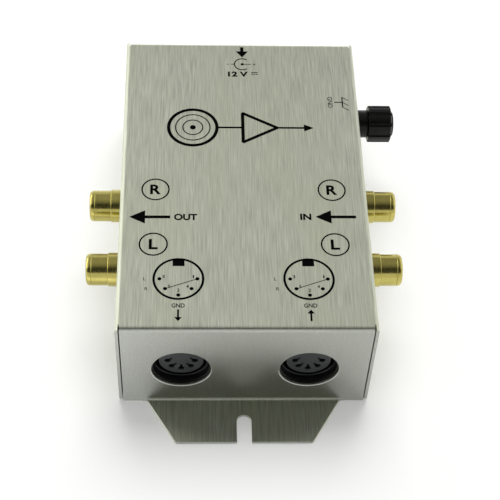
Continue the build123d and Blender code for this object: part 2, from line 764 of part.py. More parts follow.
def amp_chips():
    low = SOCKET_HEIGHT + CHIP_LIFT
    body = Pos(0, 0, low + CHIP_HEIGHT / 2) * Box(CHIP_WIDTH, CHIP_LENGTH, CHIP_HEIGHT)
    body -= Pos(0, CHIP_LENGTH / 2, low + CHIP_HEIGHT) * Cylinder(CHIP_NOTCH_R, CHIP_NOTCH)
    inside = (CHIP_ROWS - CHIP_LEG) / 2
    outside = inside + CHIP_LEG
    shoulder = low + CHIP_HEIGHT / 2
    half = CHIP_LEG_WIDTH / 2
    for sign in SIDES:
        for step in (-1.5, -0.5, 0.5, 1.5):
            y = (step * CHIP_PITCH - half, step * CHIP_PITCH + half)
            arm = sorted((sign * CHIP_WIDTH / 2, sign * outside))
            body += block(arm, y, (shoulder - CHIP_LEG, shoulder))
            body += block(sorted((sign * inside, sign * outside)), y, (SOCKET_HEIGHT, shoulder))
    return on_board(body, CHIP_PLACES)


def electrolytic_capacitors():
    can = turned(
        (0, 0),
        (CAN_R - CAN_ROUND, 0),
        (CAN_R, CAN_ROUND),
        (CAN_R, CAN_GROOVE_Z - CAN_GROOVE),
        (CAN_R - CAN_GROOVE, CAN_GROOVE_Z),
        (CAN_R, CAN_GROOVE_Z + CAN_GROOVE),
        (CAN_R, CAN_HEIGHT - CAN_ROUND),
        (CAN_R - CAN_ROUND, CAN_HEIGHT),
        (0, CAN_HEIGHT),
    )
    vent = Box(CAN_R, CAN_VENT, CAN_VENT) + Box(CAN_VENT, CAN_R, CAN_VENT)
    return on_board(can - Pos(0, 0, CAN_HEIGHT) * vent, CAN_PLACES)


def film_capacitors():
    body = Pos(0, 0, FILM_HEIGHT / 2) * Box(FILM_LENGTH, FILM_WIDTH, FILM_HEIGHT)
    return on_board(chamfer(body.edges().filter_by(Axis.Z), FILM_CHAMFER), FILM_PLACES)


def resistors():
    half = RESISTOR_LENGTH / 2
    waist = half - RESISTOR_END
    level = RESISTOR_LIFT + RESISTOR_END_R
    body = turned(
        (0, -half),
        (RESISTOR_END_R, -half),
        (RESISTOR_END_R, -waist),
        (RESISTOR_R, -waist),
        (RESISTOR_R, waist),
        (RESISTOR_END_R, waist),
        (RESISTOR_END_R, half),
        (0, half),
    )
    span = RESISTOR_SPAN / 2
    corners = (-span, 0, 0), (-span, 0, level), (span, 0, level), (span, 0, 0)
    lead = FilletPolyline(*corners, radius=LEAD_BEND_R)
    piece = Pos(0, 0, level) * Rot(0, 90, 0) * body + wire(RESISTOR_LEAD_R, lead)
    return on_board(piece, [(sign * RESISTOR_X, y) for sign in SIDES for y in RESISTOR_ROWS])


def voltage_regulator():
    """Body with a screw tab, on three legs."""
    half = REGULATOR_WIDTH / 2
    tab = block((-half, half), (0, REGULATOR_TAB), (REGULATOR_LIFT, REGULATOR_HEIGHT))
    hole = Rot(90, 0, 0) * Cylinder(REGULATOR_HOLE_R, 2 * REGULATOR_TAB)
    tab -= Pos(0, REGULATOR_TAB / 2, REGULATOR_HEIGHT - REGULATOR_HOLE_DROP) * hole
    depth = (REGULATOR_TAB - REGULATOR_BODY, 0)
    body = block((-half, half), depth, (REGULATOR_LIFT, REGULATOR_BODY_HEIGHT))
    for step in (-1, 0, 1):
        x = (step * CHIP_PITCH - REGULATOR_LEAD, step * CHIP_PITCH + REGULATOR_LEAD)
        body += block(x, (-3 * REGULATOR_LEAD, -2 * REGULATOR_LEAD), (0, REGULATOR_LIFT))
    return on_board(tab + body, [(REGULATOR_X, END_Y - REGULATOR_SETBACK)])


def rectifier_diode():
    body = Pos(0, 0, DIODE_LEVEL) * Rot(90, 0, 0) * Cylinder(DIODE_R, DIODE_LENGTH)
    end = DIODE_SPAN / 2
    corners = (0, -end, 0), (0, -end, DIODE_LEVEL), (0, end, DIODE_LEVEL), (0, end, 0)
    lead = FilletPolyline(*corners, radius=LEAD_BEND_R)
    return on_board(body + wire(DIODE_LEAD_R, lead), [(DIODE_X, END_Y - DIODE_SETBACK)])


# Wires, each from its terminal across and down to the board


def drop_wire(sign, x, y, z, reach):
    path = FilletPolyline(
        (sign * x, y, z), (sign * (x - reach), y, z), (sign * (x - reach), y, BOARD_TOP), radius=WIRE_BEND_R
    )
    return wire(WIRE_R, path)


def signal_wires():
    x = SIDE_X - SHANK_LENGTH - INSULATOR_TAIL - CONTACT_TAIL
    return group(drop_wire(sign, x, y, JACK_Z, SIGNAL_WIRE_REACH) for sign, y in JACKS.values())


def tag_wire(sign, y, z):
    return drop_wire(sign, SIDE_INNER_X - TAG_SHEET, y, z - TAG_ARM + WIRE_R, TAG_WIRE_REACH)


def shield_wires():
    return group(tag_wire(sign, y, JACK_Z) for sign, y in JACKS.values())


def ground_wire():
    return tag_wire(1, POST_Y, POST_Z)


NODES = {
    "cover": cover(),
    "base_plate": base_plate(),
    "base_screws": base_screws(),
    "base_brackets": base_brackets(),
    "press_nuts": press_nuts(),
    "board_standoffs": board_standoffs(),
    "board_screws": board_screws(),
    "circuit_board": circuit_board(),
    "jack_nuts": jack_nuts(),
    "jack_tags": jack_tags(),
    "dc_jack_body": dc_place() * dc_jack_body(),
    "dc_jack_pin": dc_place() * dc_jack_pin(),
    "dc_jack_spring": dc_place() * dc_jack_spring(),
    "ground_collar": post_place() * ground_collar(),
    "ground_stud": post_place() * ground_stud(),
    "ground_nut": ground_nut(),
    "ground_tag": ground_tag(),
    "clamp_washer": post_place() * clamp_washer(),
    "cap_insert": post_place() * cap_insert(),
    "ground_cap": post_place() * ground_cap(),
    "amp_sockets": amp_sockets(),
    "amp_chips": amp_chips(),
    "electrolytic_capacitors": electrolytic_capacitors(),
    "film_capacitors": film_capacitors(),
    "resistors": resistors(),
    "voltage_regulator": voltage_regulator(),
    "rectifier_diode": rectifier_diode(),
    "signal_wires": signal_wires(),
    "shield_wires": shield_wires(),
    "ground_wire": ground_wire(),
}
for name in JACKS:
    NODES[f"jack_shell_{name}"] = jack_place(name) * jack_shell()
    NODES[f"jack_insulator_{name}"] = jack_place(name) * jack_insulator()
    NODES[f"jack_contact_{name}"] = jack_place(name) * jack_contact()
for name in DINS:
    NODES[f"din_body_{name}"] = din_place(name) * din_body()
    NODES[f"din_shield_{name}"] = din_place(name) * din_shield()
    NODES[f"din_insert_{name}"] = din_place(name) * din_insert()
    NODES[f"din_contacts_{name}"] = din_place(name) * din_contacts()

os.makedirs("parts", exist_ok=True)
for name, shape in NODES.items():
    export_step(shape, f"parts/{name}.step")
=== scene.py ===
"""Phono preamp: a brushed folded case with printed marks, gilt RCA jacks, DIN sockets and a ground terminal.

Lengths are in metres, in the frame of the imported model: +X input side, +Y power jack, +Z up.
"""

import math

import bpy
from mathutils import Matrix, Vector


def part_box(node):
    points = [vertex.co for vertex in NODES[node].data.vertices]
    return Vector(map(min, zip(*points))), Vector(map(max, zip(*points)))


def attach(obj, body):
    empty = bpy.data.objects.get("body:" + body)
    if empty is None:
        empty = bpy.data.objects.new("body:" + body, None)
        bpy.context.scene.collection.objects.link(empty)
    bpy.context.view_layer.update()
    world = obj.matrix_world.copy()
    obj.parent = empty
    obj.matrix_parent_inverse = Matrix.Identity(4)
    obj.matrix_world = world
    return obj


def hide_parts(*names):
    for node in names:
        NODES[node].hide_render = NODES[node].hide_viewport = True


bl_info = {
    "name": "Phono preamp",
    "version": (1, 0, 0),
    "blender": (4, 5, 0),
    "location": "3D View > Sidebar > Preamp",
    "description": "Builds the finished pieces of a phono preamp around its packed frame",
    "category": "Object",
}

MM = 0.001
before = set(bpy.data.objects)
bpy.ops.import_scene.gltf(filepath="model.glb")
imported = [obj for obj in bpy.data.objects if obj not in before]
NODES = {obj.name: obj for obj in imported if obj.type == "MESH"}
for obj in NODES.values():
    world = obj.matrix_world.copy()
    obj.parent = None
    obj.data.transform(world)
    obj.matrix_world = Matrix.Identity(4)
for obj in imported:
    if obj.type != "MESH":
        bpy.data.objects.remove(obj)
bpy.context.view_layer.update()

CASE_LOW, CASE_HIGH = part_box("cover")
FLANGE_DEPTH = 12.8 * MM
WALL_FRONT = CASE_LOW.y + FLANGE_DEPTH  # outer face of the front wall
FLOOR_LEVEL = CASE_LOW.z - 0.05 * MM
JACK_NAMES = ("out_right", "out_left", "in_right", "in_left")
SOCKET_NAMES = ("out", "in")


# Selecting, shaping and placing


def deselect():
    """Leaves edit mode, with nothing selected."""
    if bpy.context.object and bpy.context.object.mode != "OBJECT":
        bpy.ops.object.mode_set(mode="OBJECT")
    bpy.ops.object.select_all(action="DESELECT")


def middle(node):
    """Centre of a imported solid's box."""
    low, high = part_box(node)
    return (low + high) / 2


def activate(piece):
    deselect()
    piece.select_set(True)
    bpy.context.view_layer.objects.active = piece


def added(name):
    """Names the object that an operator has just added."""
    piece = bpy.context.object
    piece.name = name
    piece.data.name = name
    return piece


def primitive(name, kind, **values):
    """New mesh of one of the plain kinds: plane, circle, cube or cylinder."""
    deselect()
    getattr(bpy.ops.mesh, f"primitive_{kind}_add")(**values)
    return added(name)


def span(piece, axis):
    """Least and greatest place of a piece's vertices on an axis."""
    places = [vertex.co[axis] for vertex in piece.data.vertices]
    return min(places), max(places)


def edit(piece, chosen=None):
    """Enters edit mode with all vertices selected, or with those whose place passes a test."""
    activate(piece)
    bpy.ops.object.mode_set(mode="EDIT")
    bpy.ops.mesh.select_mode(type="VERT")
    bpy.ops.mesh.select_all(action="DESELECT" if chosen else "SELECT")
    if chosen:
        bpy.ops.object.mode_set(mode="OBJECT")
        for vertex in piece.data.vertices:
            vertex.select = chosen(vertex.co)
        bpy.ops.object.mode_set(mode="EDIT")


def settle(piece, place=None):
    """Moves a piece to its place, and puts the place into its mesh."""
    if place is not None:
        piece.matrix_world = place
    activate(piece)
    bpy.ops.object.transform_apply(location=True, rotation=True, scale=True)
    return piece


def modified(piece, kind, **values):
    """Adds a modifier to a piece and applies it."""
    activate(piece)
    modifier = piece.modifiers.new(kind.title(), kind)
    for key, value in values.items():
        setattr(modifier, key, value)
    bpy.ops.object.modifier_apply(modifier=modifier.name)
    return piece


def smoothed(piece):
    activate(piece)
    bpy.ops.object.shade_smooth_by_angle(angle=math.radians(32))
    return piece


def softened(piece, width, segments=2, angle=math.radians(35)):
    """Rounds the edges of a piece, and keeps its flats flat in the light."""
    modified(piece, "BEVEL", width=width, segments=segments, limit_method="ANGLE", angle_limit=angle)
    smoothed(piece)
    return modified(piece, "WEIGHTED_NORMAL", mode="FACE_AREA", weight=100, keep_sharp=True)


def copied(piece, name, place):
    """Copy of a piece that isn't placed yet, with its own mesh."""
    activate(piece)
    bpy.ops.object.duplicate(linked=False)
    return settle(added(name), place)


def joined(pieces, name):
    """One mesh out of several."""
    deselect()
    for piece in pieces:
        piece.select_set(True)
    bpy.context.view_layer.objects.active = pieces[0]
    if len(pieces) > 1:
        bpy.ops.object.join()
    return added(name)


def cut(piece, tool):
    """Takes a tool's volume out of a piece, and removes the tool."""
    modified(piece, "BOOLEAN", operation="DIFFERENCE", solver="EXACT", object=tool)
    bpy.data.objects.remove(tool)


def facing(origin, direction):
    """Placement whose local +Z points along a direction, with local +Y as near to up as it goes."""
    turn = Vector(direction).normalized().to_track_quat("Z", "Y")
    return Matrix.Translation(origin) @ turn.to_matrix().to_4x4()


def along(place, run):
    """Placement on a flat point, with local +X along a flat direction."""
    return Matrix.Translation(place.to_3d()) @ Matrix.Rotation(math.atan2(run.y, run.x), 4, "Z")


def turned(name, rings, segments=96):
    """Piece turned about local Z, from (radius, height) rings; an open end is closed by a flat face."""
    radius, height = rings[0]
    piece = settle(primitive(name, "circle", vertices=segments, radius=radius, location=(0, 0, height)))
    edit(piece)
    for next_radius, next_height in rings[1:]:
        step = {"value": (0, 0, next_height - height)}
        bpy.ops.mesh.extrude_region_move(TRANSFORM_OT_translate=step)
        factor = next_radius / radius
        bpy.ops.transform.resize(value=(factor, factor, 1), center_override=(0, 0, 0))
        radius, height = next_radius, next_height
    bpy.ops.mesh.select_all(action="SELECT")
    bpy.ops.mesh.remove_doubles(threshold=1e-7)
    bpy.ops.mesh.fill_holes(sides=0)
    bpy.ops.mesh.normals_make_consistent(inside=False)
    return smoothed(piece)


def rounded(radius, height, corner, steps=5, tall=1.0):
    """Rings of a convex round from the side to the face at a height, drawn out along the axis."""
    rings = []
    for i in range(steps + 1):
        angle = math.radians(90) * i / steps
        inwards, down = 1 - math.cos(angle), 1 - math.sin(angle)
        rings.append((radius - corner * inwards, height - tall * corner * down))
    return rings


def block(name, low, high):
    """Box between two corners."""
    piece = primitive(name, "cube", size=1, location=[(a + b) / 2 for a, b in zip(low, high)])
    piece.scale = [b - a for a, b in zip(low, high)]
    return settle(piece)


def crossed(piece, long, narrow, low, high):
    """Cuts a cross of two slots into a piece, about local Z."""
    for x, y in ((long, narrow), (narrow, long)):
        cut(piece, block("slot", (-x, -y, low), (x, y, high)))


def refined(node, name, edge):
    """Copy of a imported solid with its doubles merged, its flats joined up and its edges rounded."""
    activate(NODES[node])
    bpy.ops.object.duplicate(linked=False)
    piece = added(name)
    for key in [k for k in piece.keys() if k.startswith("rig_")]:
        del piece[key]
    piece.parent = None
    bpy.ops.mesh.customdata_custom_splitnormals_clear()
    edit(piece)
    bpy.ops.mesh.remove_doubles(threshold=1e-6)
    bpy.ops.mesh.dissolve_limited(angle_limit=math.radians(0.5))
    return softened(piece, edge)


# Materials: procedural, on object coordinates


class Finish:
    """Node tree of one material, with short calls for the nodes that the finishes share."""

    def __init__(self, name, metallic=0.0, roughness=0.5, colour=(0.5, 0.5, 0.5), **sockets):
        self.material = bpy.data.materials.new(name)
        self.material.use_nodes = True
        self.tree = self.material.node_tree
        self.shader = self.tree.nodes["Principled BSDF"]
        self.set(self.shader, Metallic=metallic, Roughness=roughness, Base_Color=colour, **sockets)
        self.place = self.node("ShaderNodeTexCoord").outputs["Object"]

    def node(self, kind, **settings):
        node = self.tree.nodes.new(kind)
        for key, value in settings.items():
            setattr(node, key, value)
        return node

    def put(self, value, socket):
        """Gives a socket a number, a vector, a colour or another node's output."""
        if isinstance(value, bpy.types.NodeSocket):
            self.tree.links.new(value, socket)
        else:
            socket.default_value = (*value, 1) if socket.type == "RGBA" else value

    def set(self, node, **values):
        for key, value in values.items():
            self.put(value, node.inputs[key.replace("_", " ")])
        return node

    def parts(self, vector):
        """X, Y and Z of a vector."""
        return self.set(self.node("ShaderNodeSeparateXYZ"), Vector=vector).outputs

    def mapped(self, scale):
        """Coordinates stretched by a scale on each axis, in steps per metre."""
        return self.set(self.node("ShaderNodeMapping"), Vector=self.place, Scale=scale).outputs[0]

    def noise(self, vector, scale=1.0, detail=3.0):
        node = self.node("ShaderNodeTexNoise")
        self.set(node, Vector=vector, Scale=scale, Detail=detail, Roughness=0.55)
        return node.outputs["Fac"]

    def ranged(self, value, low, high, start=0.3, end=0.7):
        """Spreads a value's middle range between two limits."""
        node = self.node("ShaderNodeMapRange")
        for socket, number in zip(node.inputs, (value, start, end, low, high)):
            self.put(number, socket)
        return node.outputs[0]

    def math(self, operation, first, second=0.0):
        node = self.node("ShaderNodeMath", operation=operation)
        for socket, value in zip(node.inputs, (first, second)):
            self.put(value, socket)
        return node.outputs[0]

    def blended(self, factor, first, second):
        """Colour between two colours or sockets."""
        node = self.node("ShaderNodeMix", data_type="RGBA")
        for index, value in ((0, factor), (6, first), (7, second)):
            self.put(value, node.inputs[index])
        return node.outputs[2]

    def surfaced(self, colour, roughness, height, depth):
        """The material, with its colour, its roughness and a bump whose depth is in metres."""
        bump = self.set(self.node("ShaderNodeBump"), Height=height, Strength=1.0, Distance=depth)
        self.set(self.shader, Base_Color=colour, Roughness=roughness, Normal=bump.outputs["Normal"])
        return self.material


def toned(colour, factor):
    return tuple(min(1.0, part * factor) for part in colour)


def rim_highlight_mask(finish):
    """Mask of a painted highlight: one on the lower rim of the DIN sockets' holes, fading out upwards, and
    zero elsewhere.
    """
    radius, depth, fade_start, fade_end = 7.87 * MM, 0.22 * MM, -3 * MM, 2 * MM
    hole = middle("din_insert_in")
    x, y, z = finish.parts(finish.place)
    across = finish.math("SUBTRACT", finish.math("ABSOLUTE", x), hole.x)
    up = finish.math("SUBTRACT", z, hole.z)
    squares = [finish.math("POWER", part, 2.0) for part in (across, up)]
    reach = finish.math("SQRT", finish.math("ADD", *squares))
    lip = finish.math("LESS_THAN", reach, radius)
    lip = finish.math("MULTIPLY", lip, finish.math("LESS_THAN", y, WALL_FRONT + depth))
    return finish.math("MULTIPLY", lip, finish.ranged(up, 1, 0, fade_start, fade_end))


def brushed_steel(colour):
    """Satin sheet: hairlines along its length and down the end walls, painted shade that darkens the end
    walls, and a pale painted highlight on the lower rim of the DIN holes.
    """
    finish = Finish("brushed_steel", metallic=1.0, roughness=0.42, Anisotropic=0.85)
    facing_out = finish.node("ShaderNodeNewGeometry").outputs["Normal"]
    end_wall = 0.7  # least share of the normal that lies along Y
    facing_y = finish.math("ABSOLUTE", finish.parts(facing_out)["Y"])
    on_end = finish.math("GREATER_THAN", facing_y, end_wall)
    length_way = finish.node("ShaderNodeCombineXYZ")
    finish.set(length_way, Y=finish.math("SUBTRACT", 1.0, on_end), Z=on_end)
    across = finish.node("ShaderNodeVectorMath", operation="CROSS_PRODUCT")
    finish.put(facing_out, across.inputs[0])
    finish.put(length_way.outputs[0], across.inputs[1])

    def grain(width, length, detail):
        flat = finish.mapped((1 / width, 1 / length, 1 / width))
        upright = finish.mapped((1 / width, 1 / width, 1 / length))
        node = finish.node("ShaderNodeMix", data_type="VECTOR")
        for index, value in ((0, on_end), (4, flat), (5, upright)):
            finish.put(value, node.inputs[index])
        return finish.noise(node.outputs[1], detail=detail)

    hair = grain(0.34 * MM, 9 * MM, 4.0)
    streak = grain(0.9 * MM, 24 * MM, 2.0)
    cloud = finish.noise(finish.mapped((45, 18, 30)), detail=2.0)
    warm = (colour[0], colour[1], colour[2] * 0.9)
    tone = finish.blended(finish.ranged(hair, 0, 1), toned(colour, 0.72), toned(colour, 1.24))
    tone = finish.blended(finish.ranged(streak, 0, 0.4), tone, toned(colour, 1.12))
    tone = finish.blended(finish.ranged(cloud, 0, 0.5, 0.35, 0.65), tone, warm)
    sand = finish.noise(finish.place, scale=1600, detail=3.0)
    # Painted shade: the end walls take a darker, greyer copy of the steel colour, standing in for their
    # darker reflections; their fine sand speckle is the sheet's finish.
    end_wall_shade = toned((colour[0], colour[1] * 0.99, colour[2] * 1.1), 0.79)
    end_matt_and_shade = finish.blended(finish.ranged(sand, 0, 1), toned(end_wall_shade, 0.9), toned(end_wall_shade, 1.08))
    end_matt_and_shade = finish.blended(finish.ranged(hair, 0, 0.5), end_matt_and_shade, toned(end_wall_shade, 0.92))
    # Painted highlight: the lower rim of the DIN holes gets a pale colour and loses its metal, standing in
    # for light caught by the rounded cut edge.
    lip, rim_highlight_colour = rim_highlight_mask(finish), (0.78, 0.78, 0.74)
    rough, rougher_end = finish.ranged(hair, 0.38, 0.46, 0.2, 0.8), finish.ranged(on_end, 0, 0.04, 0, 1)
    finish.set(finish.shader, Tangent=across.outputs[0], Metallic=finish.math("SUBTRACT", 1.0, lip))
    tone = finish.blended(lip, finish.blended(on_end, tone, end_matt_and_shade), rim_highlight_colour)
    return finish.surfaced(tone, finish.math("ADD", rough, rougher_end), hair, 0.0015 * MM)


def turned_metal(name, colour, roughness, axis="X"):
    """Plated turned metal: fine rings across the axis, with a slightly uneven plating."""
    pitch, spread = 0.12 * MM, 20.0
    finish = Finish(name, metallic=1.0, roughness=roughness)
    across = tuple(1 / pitch if a == axis else spread for a in "XYZ")
    ring = finish.noise(finish.mapped(across), detail=2.0)
    cloud = finish.noise(finish.place, scale=350, detail=3.0)
    tone = finish.blended(finish.ranged(cloud, 0, 1), toned(colour, 0.93), toned(colour, 1.05))
    tone = finish.blended(finish.ranged(ring, 0, 0.35), tone, toned(colour, 0.8))
    rough = finish.ranged(ring, roughness * 0.75, roughness * 1.35)
    return finish.surfaced(tone, rough, ring, 0.002 * MM)


def moulded(name, colour, roughness, painted_shade_y=None, **sockets):
    """Moulded plastic: a fine even grain and slow changes in tone; with a plane across Y given, painted
    shade darkens it to nearly black behind that plane.
    """
    speck, depth, fade, shade = 0.12 * MM, 0.006 * MM, 0.4 * MM, 0.1
    finish = Finish(name, roughness=roughness, **sockets)
    grain = finish.noise(finish.place, scale=1 / speck, detail=2.0)
    cloud = finish.noise(finish.place, scale=160, detail=3.0)
    tone = finish.blended(finish.ranged(cloud, 0, 1), toned(colour, 0.85), toned(colour, 1.18))
    tone = finish.blended(finish.ranged(grain, 0, 0.3), tone, toned(colour, 1.3))
    # Painted shade: behind the plane across Y the colour fades to a tenth, standing in for the shade inside
    # the DIN socket's mouth.
    if painted_shade_y is not None:
        behind = finish.ranged(finish.parts(finish.place)["Y"], 0, 1, painted_shade_y, painted_shade_y + fade)
        tone = finish.blended(behind, tone, toned(colour, shade))
    rough = finish.ranged(grain, roughness * 0.85, roughness * 1.2)
    return finish.surfaced(tone, rough, grain, depth)


def plated(name, colour, roughness, spangle=0.9 * MM):
    """Plated sheet or pressed metal, lightly spangled."""
    finish = Finish(name, metallic=1.0, roughness=roughness)
    cell = finish.set(finish.node("ShaderNodeTexVoronoi"), Vector=finish.place, Scale=1 / spangle)
    fine = finish.noise(finish.place, scale=2500, detail=2.0)
    spangles = finish.ranged(cell.outputs["Color"], 0, 0.5, 0, 1)
    tone = finish.blended(spangles, colour, toned(colour, 0.8))
    rough = finish.ranged(fine, roughness * 0.8, roughness * 1.3)
    return finish.surfaced(tone, rough, fine, 0.003 * MM)


def ink(name, colour):
    """Screen-printed ink: dense, slightly uneven at the scale of the mesh."""
    finish = Finish(name, roughness=0.6, Specular_IOR_Level=0.01)
    mesh = finish.noise(finish.place, scale=5000, detail=2.0)
    tone = finish.blended(finish.ranged(mesh, 0, 1), colour, toned(colour, 1.8))
    return finish.surfaced(tone, finish.ranged(mesh, 0.5, 0.7), mesh, 0.002 * MM)


def board_lacquer(name, colour):
    """Green lacquer over copper runs."""
    finish = Finish(name, roughness=0.35, Coat_Weight=0.4, Coat_Roughness=0.15)
    run = finish.set(
        finish.node("ShaderNodeTexBrick"),
        Vector=finish.mapped((110, 110, 110)),
        Color1=colour,
        Color2=toned(colour, 1.15),
        Mortar=toned(colour, 1.9),
        Scale=1.0,
        Mortar_Size=0.06,
        Brick_Width=0.5,
        Row_Height=0.25,
    )
    weave = finish.noise(finish.place, scale=1200, detail=2.0)
    tone = finish.blended(finish.ranged(weave, 0, 0.35), run.outputs["Color"], toned(colour, 0.6))
    return finish.surfaced(tone, finish.ranged(weave, 0.28, 0.45), weave, 0.004 * MM)


MATERIALS = {}


def dress(node, material):
    """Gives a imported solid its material."""
    for slot in NODES[node].material_slots:
        slot.material = MATERIALS[material]


def wear(piece, material, slot, body="housing", replaces=()):
    """Gives a new piece its material, and ties it to the body that carries it."""
    piece.data.materials.clear()
    piece.data.materials.append(MATERIALS[material])
    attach(piece, body)
    if replaces:
        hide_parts(*replaces)


# Sizes and colours that a user would change


def length(name, millimetres, description):
    return bpy.props.FloatProperty(
        name=name, description=description, default=millimetres * MM, min=0, precision=5, unit="LENGTH"
    )


def degrees(name, value, description):
    return bpy.props.FloatProperty(
        name=name, description=description, default=math.radians(value), subtype="ANGLE"
    )


def paint(name, colour, description):
    return bpy.props.FloatVectorProperty(
        name=name, description=description, default=colour, size=3, min=0, max=1, subtype="COLOR"
    )


class CaseSettings(bpy.types.PropertyGroup):
    colour: paint("Steel", (0.66, 0.683, 0.563), "Colour of the brushed sheet")
    edge: length("Edge", 0.3, "Round on the sheet's cut edges")
    ink: paint("Ink", (0.0015, 0.0015, 0.0015), "Colour of the printed marks")
    ink_height: length("Ink height", 0.02, "Thickness of the printed marks")


class JackSettings(bpy.types.PropertyGroup):
    colour: paint("Gilt", (0.58, 0.51, 0.15), "Colour of the gilt shells")
    collar: length("Collar", 2.9, "Length of the shell's collar on the wall")
    collar_radius: length("Collar radius", 4.4, "Radius of the collar")
    radius: length("Radius", 4.15, "Radius of the barrel")
    reach: length("Reach", 8.4, "Length of the shell outside the wall")
    tip: length("Tip", 0.75, "Round at the barrel's tip")
    bore: length("Bore", 3.35, "Radius of the barrel's bore")
    shank: length("Shank", 3.5, "Radius of the shank behind the wall")
    groove: length("Groove", 1.4, "Fine turned line, from the tip")


class SocketSettings(bpy.types.PropertyGroup):
    colour: paint("Socket", (0.005, 0.005, 0.006), "Colour of the socket's moulding")
    face: paint("Face", (0.045, 0.048, 0.05), "Colour of the insert's face")
    edge: length("Edge", 0.12, "Round on the insert's edges")
    mouth: length("Mouth", 2.2, "Depth of the insert's face with its contact mouths")
    proud: length("Proud", 0.8, "Reach of the insert's face before the packed one")


class TerminalSettings(bpy.types.PropertyGroup):
    colour: paint("Cap", (0.003, 0.0032, 0.0025), "Colour of the cap and collar")
    ribs: bpy.props.IntProperty(name="Flutes", description="Flutes around the cap", default=10, min=3)
    flute: length("Flute", 0.6, "Radius of a flute")
    bite: length("Bite", 0.55, "Depth of a flute")
    turn: degrees("Turn", 28, "Turn of the flutes about the cap's axis")
    edge: length("Edge", 0.2, "Round on the ribs' edges")
    pitch: length("Pitch", 0.7, "Pitch of the stud's thread")


class StageSettings(bpy.types.PropertyGroup):
    floor: paint("Floor", (0.92, 0.92, 0.91), "Colour of the floor")
    azimuth: degrees("Azimuth", -3.885, "Camera's turn about the object")
    elevation: degrees("Elevation", 52.143, "Camera's height angle")
    roll: degrees("Roll", 3.216, "Camera's roll")


class PreampSettings(bpy.types.PropertyGroup):
    case: bpy.props.PointerProperty(type=CaseSettings)
    jack: bpy.props.PointerProperty(type=JackSettings)
    socket: bpy.props.PointerProperty(type=SocketSettings)
    terminal: bpy.props.PointerProperty(type=TerminalSettings)
    stage: bpy.props.PointerProperty(type=StageSettings)


# Operators


class PREAMP_OT_finishes(bpy.types.Operator):
    """Makes the materials and dresses the solids that stay as they are"""

    bl_idname = "preamp.finishes"
    bl_label = "Finishes"

    dressed = {
        "zinc": ("base_plate", "base_brackets", "press_nuts", "board_standoffs", "board_screws"),
        "board": ("circuit_board",),
        "gilt": ("jack_nuts",),
        "tin": ("jack_tags", "ground_tag", "din_contacts_out", "din_contacts_in"),
        "socket_black": ("dc_jack_body", "amp_sockets", "din_body_out", "din_body_in"),
        "nickel": ("dc_jack_pin", "dc_jack_spring", "ground_nut"),
        "brass": ("cap_insert",),
        "chip": ("amp_chips", "voltage_regulator", "rectifier_diode"),
        "sleeve": ("electrolytic_capacitors",),
        "film": ("film_capacitors",),
        "resistor": ("resistors",),
        "wire_red": ("signal_wires",),
        "wire_black": ("shield_wires",),
        "wire_green": ("ground_wire",),
    }

    def execute(self, context):
        preamp = context.scene.preamp
        case, jack, socket, terminal = preamp.case, preamp.jack, preamp.socket, preamp.terminal
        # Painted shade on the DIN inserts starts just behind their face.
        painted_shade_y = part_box("din_insert_in")[0].y - socket.proud + 0.1 * MM  # just behind the insert's face
        MATERIALS.update(
            steel=brushed_steel(case.colour),
            ink=ink("print_ink", case.ink),
            gilt=turned_metal("gilt_turned", jack.colour, 0.2),
            socket_black=moulded("socket_black", socket.colour, 0.35),
            socket_face=moulded("socket_face", socket.face, 0.45, painted_shade_y=painted_shade_y),
            cap_black=moulded("cap_black", terminal.colour, 0.28, Specular_IOR_Level=0.26),
            red=moulded("insulator_red", (0.42, 0.012, 0.01), 0.35),
            white=moulded("insulator_white", (0.75, 0.74, 0.7), 0.35),
            nickel=turned_metal("nickel_turned", (0.5, 0.49, 0.46), 0.22),
            # Painted shade: the shield rings' nickel gets a dark grey, 0.09, instead of a pale nickel
            # colour, standing in for the shade inside the sockets.
            shield=turned_metal("nickel_shield_painted_shade", (0.09, 0.09, 0.09), 0.4, axis="Y"),
            brass=turned_metal("brass_turned", (0.68, 0.5, 0.2), 0.25),
            zinc=plated("zinc_plated", (0.55, 0.56, 0.57), 0.35),
            tin=plated("tinned_copper", (0.6, 0.59, 0.56), 0.3, spangle=0.4 * MM),
            black_screw=plated("blackened_screw", (0.04, 0.04, 0.045), 0.4, spangle=0.3 * MM),
            board=board_lacquer("board_lacquer", (0.01, 0.09, 0.03)),
            chip=moulded("chip_black", (0.02, 0.02, 0.022), 0.5),
            sleeve=moulded("can_sleeve", (0.02, 0.03, 0.09), 0.3, Coat_Weight=0.5),
            film=moulded("film_red", (0.4, 0.03, 0.015), 0.3, Coat_Weight=0.3),
            resistor=moulded("resistor_blue", (0.08, 0.28, 0.5), 0.35),
            wire_red=moulded("wire_red", (0.5, 0.02, 0.015), 0.4),
            wire_black=moulded("wire_black", (0.015, 0.015, 0.015), 0.4),
            wire_green=moulded("wire_green", (0.02, 0.25, 0.04), 0.4),
        )
        for material, nodes in self.dressed.items():
            for node in nodes:
                dress(node, material)
        return {"FINISHED"}


class PREAMP_OT_case(bpy.types.Operator):
    """Makes the folded cover with rounded cut edges"""

    bl_idname = "preamp.case"
    bl_label = "Folded case"

    def execute(self, context):
        case = refined("cover", "folded_case", context.scene.preamp.case.edge)
        wear(case, "steel", "brushed_steel", replaces=["cover"])
        return {"FINISHED"}


